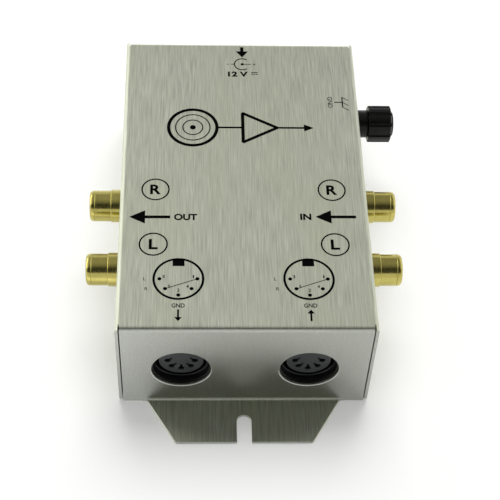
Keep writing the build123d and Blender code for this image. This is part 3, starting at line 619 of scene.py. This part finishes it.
class PREAMP_OT_base_screws(bpy.types.Operator):
    """Makes the countersunk screws under the base, with cross recesses"""

    bl_idname = "preamp.base_screws"
    bl_label = "Base screws"

    def execute(self, context):
        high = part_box("base_screws")[1]
        head_radius, shank_radius, rim, head = 2.35 * MM, 1.25 * MM, 0.1 * MM, 1.1 * MM
        rings = [(head_radius, 0), (head_radius, rim), (shank_radius, head), (shank_radius, high.z)]
        screw = turned("base_screw", rings, segments=48)
        wide, narrow, deep = 1.25 * MM, 0.28 * MM, 0.8 * MM
        crossed(screw, wide, narrow, -deep, deep)
        softened(screw, 0.05 * MM)
        x, y = high.x - head_radius, high.y - head_radius
        corners = [(sx * x, sy * y, 0) for sx in (-1, 1) for sy in (-1, 1)]
        screws = [copied(screw, f"base_screw_{i}", Matrix.Translation(p)) for i, p in enumerate(corners)]
        bpy.data.objects.remove(screw)
        wear(joined(screws, "recessed_base_screws"), "black_screw", "black_screw", replaces=["base_screws"])
        return {"FINISHED"}


class PREAMP_OT_rca_jacks(bpy.types.Operator):
    """Makes the four gilt jacks with their insulators and split contacts"""

    bl_idname = "preamp.rca_jacks"
    bl_label = "RCA jacks"

    floor, shank_bore, inset = 1.2 * MM, 2.6 * MM, 0.3 * MM

    def execute(self, context):
        jack = context.scene.preamp.jack
        shapes = {kind: getattr(self, kind)(jack) for kind in ("shell", "insulator", "contact")}
        for name in JACK_NAMES:
            centre = middle(f"jack_shell_{name}")
            low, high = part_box(f"jack_shell_{name}")
            side = -1 if low.x < 0 else 1
            tip = high.x if side > 0 else low.x
            place = facing((tip - side * jack.reach, centre.y, centre.z), (side, 0, 0))
            colour = "red" if name.endswith("right") else "white"
            for kind, shape in shapes.items():
                look = (colour, f"{colour}_insulator") if kind == "insulator" else ("gilt", "gilt")
                piece = copied(shape, f"rca_{kind}_{name}", place)
                wear(piece, *look, replaces=[f"jack_{kind}_{name}"])
        for shape in shapes.values():
            bpy.data.objects.remove(shape)
        return {"FINISHED"}

    def shell(self, jack):
        shank_end, line, dip, slope = -8.0 * MM, 0.1 * MM, 0.07 * MM, 0.25 * MM
        groove = jack.reach - jack.groove
        rings = [
            (self.shank_bore, shank_end),
            (jack.shank, shank_end),
            (jack.shank, 0),
            (jack.collar_radius - line, 0),
            (jack.collar_radius, line),
            *rounded(jack.collar_radius, jack.collar - line, slope, 3),
            (jack.radius, jack.collar),
            (jack.radius, groove - line),
            (jack.radius - dip, groove),
            (jack.radius, groove + line),
            *rounded(jack.radius, jack.reach, jack.tip, 7, 1.5),
            (jack.bore + line, jack.reach),
            (jack.bore, jack.reach - line),
            (jack.bore, self.floor),
            (self.shank_bore, self.floor),
            (self.shank_bore, shank_end),
        ]
        return turned("rca_shell", rings, segments=128)

    def insulator(self, jack):
        tail, contact, step = -9.0 * MM, 2.0 * MM, 0.12 * MM
        face = jack.reach - self.inset
        rings = [
            (contact, tail),
            (self.shank_bore, tail),
            (self.shank_bore, self.floor),
            (jack.bore, self.floor),
            (jack.bore, face - step),
            (jack.bore - step, face),
            (contact + 3 * step, face),
            (contact + 2 * step, face - step),
            (contact, face - step),
            (contact, tail),
        ]
        return turned("rca_insulator", rings)

    def contact(self, jack):
        tail_end, tail, end, bore = -12.0 * MM, 1.0 * MM, -9.0 * MM, 1.6 * MM
        radius, lip, depth = 2.0 * MM, 0.15 * MM, 14.0 * MM
        face = jack.reach - self.inset
        rings = [
            (tail, tail_end),
            (tail, end),
            (radius, end),
            (radius, face - lip),
            (radius - lip / 2, face),
            (bore + lip, face),
            (bore, face - lip),
            (bore, face - depth),
        ]
        piece = turned("rca_contact", rings, segments=64)
        slit, deep = 0.14 * MM, 5.0 * MM
        crossed(piece, radius * 2, slit, face - deep, face + lip)
        return smoothed(piece)


class PREAMP_OT_din_sockets(bpy.types.Operator):
    """Makes the keyed inserts and the shields of the two DIN sockets"""

    bl_idname = "preamp.din_sockets"
    bl_label = "DIN sockets"

    def execute(self, context):
        socket = context.scene.preamp.socket
        for name in SOCKET_NAMES:
            insert = refined(f"din_insert_{name}", f"keyed_insert_{name}", socket.edge)
            back = span(insert, 1)[0] + socket.mouth
            edit(insert, lambda place: place.y < back)
            bpy.ops.transform.translate(value=(0, -socket.proud, 0))
            bpy.ops.object.mode_set(mode="OBJECT")
            wear(insert, "socket_face", "din_insert", replaces=[f"din_insert_{name}"])
            low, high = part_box(f"din_shield_{name}")
            centre = middle(f"din_shield_{name}")
            outer, depth, lip = (high.x - low.x) / 2, high.y - low.y, 0.08 * MM
            inner = outer - 0.25 * MM
            rings = [
                (inner, 0),
                (outer, 0),
                (outer, depth - lip),
                (outer - lip, depth),
                (inner + lip, depth),
                (inner, depth - lip),
                (inner, 0),
            ]
            place = facing((centre.x, high.y, centre.z), (0, -1, 0))
            shield = settle(turned(f"shield_ring_{name}", rings), place)
            wear(shield, "shield", "nickel", replaces=[f"din_shield_{name}"])
        return {"FINISHED"}


class PREAMP_OT_ground_terminal(bpy.types.Operator):
    """Makes the collar, threaded stud, clamp washer and fluted cap of the ground terminal"""

    bl_idname = "preamp.ground_terminal"
    bl_label = "Ground terminal"

    stud_radius, seat, shoulder, step = 2.0 * MM, 3.45 * MM, 2.9 * MM, 1.2 * MM

    def execute(self, context):
        terminal = context.scene.preamp.terminal
        centre = middle("ground_collar")
        place = facing((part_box("ground_collar")[0].x, centre.y, centre.z), (1, 0, 0))
        pieces = (
            (self.collar(), "cap_black", "black_cap", "housing", "ground_collar"),
            (self.stud(terminal), "brass", "brass_stud", "housing", "ground_stud"),
            (self.washer(), "nickel", "nickel", "washer", "clamp_washer"),
            (self.cap(terminal), "cap_black", "black_cap", "terminal_cap", "ground_cap"),
        )
        for piece, material, slot, body, node in pieces:
            wear(settle(piece, place), material, slot, body, [node])
        return {"FINISHED"}

    def collar(self):
        radius, corner = 3.9 * MM, 0.25 * MM
        rings = [
            (self.stud_radius, 0),
            (radius - corner, 0),
            (radius, corner),
            *rounded(radius, self.seat, corner, 3),
            (self.shoulder, self.seat),
            (self.shoulder, self.seat - self.step),
            (self.stud_radius, self.seat - self.step),
            (self.stud_radius, 0),
        ]
        return turned("terminal_collar", rings)

    def stud(self, terminal):
        inside, tip, crest, depth = -6.3 * MM, 8.95 * MM, 0.1 * MM, 0.35 * MM
        radius, root, ledge = self.stud_radius, self.stud_radius - depth, self.seat - self.step
        rings = [(radius, inside), (radius, ledge), (self.shoulder, ledge), (self.shoulder, self.seat)]
        height = self.seat
        while height + terminal.pitch < tip:
            rings += [(radius, height), (radius, height + crest), (root, height + terminal.pitch / 2)]
            height += terminal.pitch
        rings += [(radius, height), (root, tip)]
        return turned("threaded_stud", rings, segments=64)

    def washer(self):
        bore, radius, low, thick, edge = 2.66 * MM, 3.6 * MM, 3.5 * MM, 0.5 * MM, 0.1 * MM
        rings = [
            (bore, low),
            (radius - edge, low),
            (radius, low + edge),
            (radius, low + thick - edge),
            (radius - edge, low + thick),
            (bore, low + thick),
            (bore, low),
        ]
        return turned("clamp_ring", rings)

    def cap(self, terminal):
        low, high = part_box("ground_cap")
        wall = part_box("ground_collar")[0].x
        base, tip, radius = low.x - wall, high.x - wall, (high.z - low.z) / 2
        ribs_end, boss, boss_round, foot = base + 6.4 * MM, 3.5 * MM, 0.6 * MM, 0.2 * MM
        slope_in, slope_down = 0.5 * MM, 0.3 * MM
        recess, recess_depth, bore, bore_depth = 3.8 * MM, 0.55 * MM, 3.0 * MM, 5.95 * MM
        rings = [
            (bore, base + bore_depth),
            (bore, base + recess_depth),
            (recess, base + recess_depth),
            (recess, base),
            (radius - foot, base),
            (radius, base + foot),
            (radius, ribs_end - slope_down),
            (radius - slope_in, ribs_end),
            (boss, ribs_end),
            *rounded(boss, tip, boss_round),
        ]
        cap = turned("fluted_cap", rings)
        flutes, spare, reach = [], 2 * MM, radius + terminal.flute - terminal.bite
        size = {"vertices": 32, "radius": terminal.flute, "depth": ribs_end - base + spare}
        for i in range(terminal.ribs):
            angle = terminal.turn + 2 * math.pi * i / terminal.ribs
            spot = (reach * math.cos(angle), reach * math.sin(angle), (base + ribs_end) / 2)
            flutes.append(primitive(f"flute_{i}", "cylinder", location=spot, **size))
        cut(cap, joined(flutes, "flutes"))
        return softened(cap, terminal.edge, segments=3, angle=math.radians(28))


class PREAMP_OT_print(bpy.types.Operator):
    """Prints the marks for the jacks, sockets, power, ground and signal path on the top"""

    bl_idname = "preamp.print"
    bl_label = "Printed marks"

    # Strokes' widths
    fine, thin, medium, line, bold = 0.19 * MM, 0.32 * MM, 0.4 * MM, 0.6 * MM, 0.92 * MM
    # A DIN plug's contacts: number, place across and down from the centre, in millimetres
    contacts = (("3", -4.75, 0), ("5", -3.3, 3.05), ("2", 0, 5.0), ("4", 3.3, 3.05), ("1", 4.75, 0))

    def execute(self, context):
        groups = {
            "power_marks": self.power(),
            "output_marks": self.channels(
                side=-1, tail=-19.3, tip=-29.9, y=-14.65, word="OUT", word_x=-15.3, width=6.0, left_x=23.5
            ),
            "input_marks": self.channels(
                side=1, tail=29.1, tip=18.5, y=-14.45, word="IN", word_x=15.95, width=2.9, left_x=23.1
            ),
            "output_socket_marks": self.socket(-17.0, outwards=True),
            "input_socket_marks": self.socket(15.8, outwards=False),
            "ground_marks": self.ground(),
            "signal_path_marks": self.signal_path(),
        }
        for name, pieces in groups.items():
            marks = joined(pieces, name)
            settle(marks, Matrix.Translation((0, 0, CASE_HIGH.z)))
            modified(marks, "SOLIDIFY", thickness=context.scene.preamp.case.ink_height, offset=1)
            wear(marks, "ink", "black_plastic")
        return {"FINISHED"}

    def bar(self, start, end, width):
        """Flat stroke between two points, in millimetres."""
        a, b = Vector(start) * MM, Vector(end) * MM
        run = b - a
        piece = primitive("stroke", "plane", size=1)
        return settle(piece, along((a + b) / 2, run) @ Matrix.Diagonal((run.length, width, 1, 1)))

    def disc(self, centre, radius):
        spot = (centre[0] * MM, centre[1] * MM, 0)
        dot = primitive("dot", "circle", vertices=32, radius=radius * MM, fill_type="NGON", location=spot)
        return settle(dot)

    def ring(self, centre, radius, width, start=0.0, end=360.0):
        """Flat ring, or an arc of one, from a radial edge that is spun round."""
        count = max(8, int(96 * (end - start) / 360))
        inner, outer = radius * MM - width / 2, radius * MM + width / 2
        cosine, sine = math.cos(math.radians(start)), math.sin(math.radians(start))
        piece = primitive("ring", "plane", size=1)
        edit(piece)
        bpy.ops.mesh.merge(type="CENTER")
        bpy.ops.transform.translate(value=(inner * cosine, inner * sine, 0))
        step = ((outer - inner) * cosine, (outer - inner) * sine, 0)
        bpy.ops.mesh.extrude_region_move(TRANSFORM_OT_translate={"value": step})
        bpy.ops.mesh.select_all(action="SELECT")
        bpy.ops.mesh.spin(steps=count, angle=math.radians(end - start), center=(0, 0, 0), axis=(0, 0, -1))
        bpy.ops.mesh.select_all(action="SELECT")
        bpy.ops.mesh.remove_doubles(threshold=1e-7)
        bpy.ops.mesh.normals_make_consistent(inside=False)
        bpy.ops.object.mode_set(mode="OBJECT")
        if piece.data.polygons[0].normal.z < 0:
            edit(piece)
            bpy.ops.mesh.flip_normals()
        return settle(piece, Matrix.Translation((centre[0] * MM, centre[1] * MM, 0)))

    def wedge(self, tip, base, half):
        """Arrow head from the middle of its base to its tip."""
        a, b = Vector(base) * MM, Vector(tip) * MM
        run = b - a
        piece = primitive("head", "circle", vertices=3, radius=1, fill_type="NGON")
        wide, (low, high) = span(piece, 0)[1], span(piece, 1)
        shape = Matrix.Diagonal((run.length / (high - low), half * MM / wide, 1, 1))
        stand = Matrix.Translation((-low, 0, 0)) @ Matrix.Rotation(math.radians(-90), 4, "Z")
        return settle(piece, along(a, run) @ shape @ stand)

    def arrow(self, tail, tip, width, head, half):
        """Stroke with a head, in millimetres."""
        a, b = Vector(tail), Vector(tip)
        base = b - (b - a).normalized() * head
        return [self.bar(a, base, width), self.wedge(b, base, half)]

    def label(self, text, centre, width, height, weight=0.0, angle=0.0):
        """Word scaled to a width and a height in millimetres, about its centre."""
        deselect()
        bpy.ops.object.text_add()
        piece = added("word")
        piece.data.body = text
        piece.data.offset = weight
        bpy.ops.object.convert(target="MESH")
        piece = added("word")
        (left, right), (low, high) = span(piece, 0), span(piece, 1)
        home = Matrix.Translation((-(left + right) / 2, -(low + high) / 2, 0))
        scale = (width * MM / (right - left), height * MM / (high - low), 1, 1)
        place = Matrix.Translation((centre[0] * MM, centre[1] * MM, 0)) @ Matrix.Rotation(angle, 4, "Z")
        return settle(piece, place @ Matrix.Diagonal(scale) @ home)

    def power(self):
        """Arrow from the power jack, the plug's polarity, its voltage and the direct-current sign."""
        x, y, radius = 0.5, 41.5, 2.2
        minus, plus, arm = x - 4.1, x + 3.4, 0.3
        sign_x, sign_y, sign_width, drop, dash, gap = 3.0, 38.15, 1.8, 0.7, 0.42, 0.28
        marks = self.arrow((x, 48.4), (x, 44.3), self.bold, head=2.4, half=1.75)
        marks += [
            self.ring((x, y), radius, self.thin, start=52, end=305),
            self.disc((x, y), 0.45),
            self.bar((x - radius - 1.0, y), (x - radius, y), self.fine),
            self.bar((x, y), (x + 2.5, y), self.fine),
            self.bar((minus - arm, y), (minus + arm, y), self.fine),
            self.bar((plus - arm, y), (plus + arm, y), self.fine),
            self.bar((plus, y - arm), (plus, y + arm), self.fine),
            self.label("12 V", (-0.8, 37.55), 5.6, 2.0, 0.04),
            self.bar((sign_x, sign_y), (sign_x + sign_width, sign_y), self.thin),
        ]
        for i in range(3):
            start = sign_x + (dash + gap) * i
            marks.append(self.bar((start, sign_y - drop), (start + dash, sign_y - drop), self.thin))
        return marks

    def channels(self, side, tail, tip, y, word, word_x, width, left_x):
        """Ringed R and L beside a pair of jacks, with an arrow and its word."""
        marks = self.arrow((tail, y), (tip, y), self.bold, head=4.1, half=2.2)
        marks.append(self.label(word, (word_x, y), width, 2.1, 0.035))
        for letter, ring_x, ring_y, wide in (("R", 23.25, -5.3, 2.8), ("L", left_x, -23.6, 2.3)):
            centre = (side * ring_x, ring_y)
            marks += [self.ring(centre, 3.53, self.medium), self.label(letter, centre, wide, 3.3, 0.03)]
        return marks

    def socket(self, x, outwards):
        """Face of a DIN plug with its contacts' numbers, and an arrow for the way the signal goes."""
        y, radius, key_width, key_depth, tall = -34.6, 6.2, 3.0 * MM, 2.2, 0.95
        marks = [self.ring((x, y), radius, self.line)]
        marks.append(self.bar((x, y + radius + 0.1), (x, y + radius - key_depth), key_width))
        spots = {}
        for digit, across, down in self.contacts:
            spot = spots[digit] = Vector((x + across, y - down))
            lean = (across < 0) - (across > 0)
            above, width = (0.7 if lean else 1.5), (0.32 if digit == "1" else 0.6)
            marks.append(self.disc(spot, 0.5))
            marks.append(self.label(digit, (spot.x + lean, spot.y + above), width, tall, 0.01))
        marks.append(self.bar(spots["5"], spots["1"], self.fine))
        marks += [self.label("L", (x - 8.5, y), 0.6, tall), self.label("R", (x - 8.0, y - 3.1), 0.75, tall)]
        marks.append(self.label("GND", (x, -42.8), 3.25, 1.25, 0.015))
        near, far = (x, -44.0), (x, -47.5)
        tail, tip = (near, far) if outwards else (far, near)
        return marks + self.arrow(tail, tip, 0.48 * MM, head=1.2, half=0.9)

    def ground(self):
        """Ground sign and its word, turned towards the terminal."""
        plate_x, y, half, lean_x, lean_y = 28.15, 26.8, 2.0, 1.7, 1.2
        marks = [
            self.label("GND", (24.7, y), 4.1, 1.35, angle=math.radians(-90)),
            self.bar((25.9, y), (plate_x, y), self.thin),
            self.bar((plate_x, y - half), (plate_x, y + half), self.thin),
        ]
        for step in (-1.9, 0.0, 1.9):
            foot = (plate_x + lean_x, y + step - lean_y)
            marks.append(self.bar((plate_x, y + step), foot, self.fine))
        return marks

    def signal_path(self):
        """Plain diagram: a record, an amplifier stage and its output."""
        y, stage_x, half = 17.0, 0.2, 5.4
        record, corners = (-13.5, y), ((stage_x, y - half), (stage_x, y + half), (9.6, y))
        marks = [self.ring(record, r, w) for r, w in ((6.6, self.bold), (4.7, self.thin), (2.7, self.thin))]
        marks.append(self.disc(record, 0.8))
        marks.append(self.bar((-6.8, y), (stage_x, y), self.line))
        for start, end in zip(corners, (*corners[1:], corners[0])):
            marks.append(self.bar(start, end, self.bold))
        marks += self.arrow(corners[2], (19.6, y), self.line, head=2.6, half=1.3)
        marks += [self.disc(corner, 0.31) for corner in corners]
        return marks


def seen(tree):
    """One for the rays that show a thing as it looks: from the camera, off a gloss or through glass."""
    rays = tree.nodes.new("ShaderNodeLightPath")
    found = rays.outputs["Is Camera Ray"]
    for name in ("Is Glossy Ray", "Is Transmission Ray"):
        either = tree.nodes.new("ShaderNodeMath")
        either.operation = "MAXIMUM"
        tree.links.new(found, either.inputs[0])
        tree.links.new(rays.outputs[name], either.inputs[1])
        found = either.outputs[0]
    return found


class PREAMP_OT_stage(bpy.types.Operator):
    """Makes the floor, the pale surround, the lamp, the cards that the metal mirrors, and the camera"""

    bl_idname = "preamp.stage"
    bl_label = "Stage"

    def execute(self, context):
        stage = context.scene.preamp.stage
        context.scene.view_settings.view_transform = "Standard"
        self.floor(stage)
        self.surround(context.scene)
        self.lamp("rear_softbox", (0.05, 0.55, 1.1), (0.8, 0.8), 10.0)
        origin, behind, ahead = (0, 0, 0), (0.1, 0.8, 1.1), (0, -0.67, 0.76)
        fades = (("Y", -0.45, 0.15, 0.33, 1.0), ("X", -0.8, 1.0, 1.5, 0.6))
        self.card("ceiling_card", behind, (0.1, 0.8, 0), size=(1.8, 2.5), glow=0.34, fades=fades)
        self.card("camera_side_card", ahead, origin, size=(3.0, 0.7), glow=0.05)
        self.card("left_softbox", (-1.2, 0.5, 0.6), origin, size=(1.6, 0.8), glow=2.4)
        self.card("right_softbox", (1.2, 0.5, 0.6), origin, size=(1.6, 0.8), glow=1.25)
        x, y, low = -0.08, -0.09, FLOOR_LEVEL + 0.03 * MM
        fades = (("X", -0.06, -0.02, 1.55, 0.95), ("Y", -0.07, -0.05, 1.0, 0.54))
        self.card("floor_card", (x, y, low), (x, y, 1), size=(0.12, 0.12), glow=1.0, fades=fades)
        self.camera(context.scene, stage)
        return {"FINISHED"}

    def floor(self, stage):
        """Pale paper, a little brighter where it is seen than where it lights the object."""
        floor = settle(primitive("floor", "plane", size=8, location=(0, 0, FLOOR_LEVEL)))
        finish = Finish("floor_paper", roughness=0.9, Specular_IOR_Level=0.1, Emission_Color=(1, 1, 1))
        grain, lift = finish.noise(finish.place, scale=900, detail=2.0), 0.12
        tone = finish.blended(finish.ranged(grain, 0, 1), toned(stage.floor, 0.99), stage.floor)
        glow = finish.math("MULTIPLY", seen(finish.tree), lift)
        finish.set(finish.shader, Base_Color=tone, Emission_Strength=glow)
        floor.data.materials.append(finish.material)

    def surround(self, scene):
        """Pale surround: white where it is seen, a soft grey as a light."""
        scene.world = bpy.data.worlds.new("surround")
        scene.world.use_nodes = True
        tree = scene.world.node_tree
        light, white = tree.nodes["Background"], tree.nodes.new("ShaderNodeBackground")
        light.inputs["Color"].default_value = (1, 1, 1, 1)
        light.inputs["Strength"].default_value = 0.5
        white.inputs["Strength"].default_value = 1.0
        mix = tree.nodes.new("ShaderNodeMixShader")
        for source, socket in zip((seen(tree), light.outputs[0], white.outputs[0]), mix.inputs):
            tree.links.new(source, socket)
        tree.links.new(mix.outputs[0], tree.nodes["World Output"].inputs["Surface"])

    def lamp(self, name, place, size, power):
        """Soft rectangular light that points at the object and isn't mirrored."""
        deselect()
        aim = facing(place, Vector(place) - Vector((0, 0, 15 * MM)))
        bpy.ops.object.light_add(type="AREA", location=place, rotation=aim.to_euler())
        lamp = added(name)
        lamp.data.shape = "RECTANGLE"
        lamp.data.size, lamp.data.size_y = size
        lamp.data.energy = power
        lamp.visible_glossy = False

    def card(self, name, place, target, size, glow, fades=()):
        """Plain card that only metal mirrors; a fade has an axis, two ends and their shares of the glow."""
        card = primitive(name, "plane", size=1)
        settle(card, facing(place, Vector(target) - Vector(place)) @ Matrix.Diagonal((*size, 1, 1)))
        finish = Finish(name, roughness=1.0, colour=(0, 0, 0), Specular_IOR_Level=0)
        across = finish.parts(finish.place)
        for axis, start, end, low, high in fades:
            glow = finish.math("MULTIPLY", finish.ranged(across[axis], low, high, start, end), glow)
        finish.set(finish.shader, Emission_Color=(1, 1, 1), Emission_Strength=glow)
        card.data.materials.append(finish.material)
        for ray in ("camera", "diffuse", "transmission", "shadow"):
            setattr(card, f"visible_{ray}", False)

    def camera(self, scene, stage):
        focal, place = 98.94, (-13.41 * MM, -239.96 * MM, 309.65 * MM)
        tilt = Matrix.Rotation(math.pi / 2 - stage.elevation, 4, "X")
        turn = Matrix.Rotation(stage.azimuth, 4, "Z") @ tilt @ Matrix.Rotation(stage.roll, 4, "Z")
        deselect()
        bpy.ops.object.camera_add(location=place, rotation=turn.to_euler())
        camera = added("camera")
        camera.data.sensor_width = 36
        camera.data.lens = focal
        camera.data.clip_start = 10 * MM
        scene.camera = camera


class PREAMP_PT_sidebar(bpy.types.Panel):
    """Lists the preamp's pieces and their sizes"""

    bl_idname = "PREAMP_PT_sidebar"
    bl_label = "Phono preamp"
    bl_space_type = "VIEW_3D"
    bl_region_type = "UI"
    bl_category = "Preamp"

    def draw(self, context):
        for operator in PIECES:
            self.layout.operator(operator.bl_idname)
        for group in ("case", "jack", "socket", "terminal", "stage"):
            settings = getattr(context.scene.preamp, group)
            for name in settings.bl_rna.properties.keys():
                if name not in ("rna_type", "name"):
                    self.layout.prop(settings, name)


PIECES = (
    PREAMP_OT_stage,
    PREAMP_OT_finishes,
    PREAMP_OT_case,
    PREAMP_OT_base_screws,
    PREAMP_OT_rca_jacks,
    PREAMP_OT_din_sockets,
    PREAMP_OT_ground_terminal,
    PREAMP_OT_print,
)
GROUPS = (CaseSettings, JackSettings, SocketSettings, TerminalSettings, StageSettings, PreampSettings)


def register():
    for part in (*GROUPS, *PIECES, PREAMP_PT_sidebar):
        bpy.utils.register_class(part)
    bpy.types.Scene.preamp = bpy.props.PointerProperty(type=PreampSettings)


def unregister():
    del bpy.types.Scene.preamp
    for part in reversed((*GROUPS, *PIECES, PREAMP_PT_sidebar)):
        bpy.utils.unregister_class(part)


def main():
    register()
    for operator in PIECES:
        group, name = operator.bl_idname.split(".")
        result = getattr(getattr(bpy.ops, group), name)()
        if "FINISHED" not in result:
            raise RuntimeError(f"{operator.bl_label} did not finish")


if __name__ == "__main__":
    main()
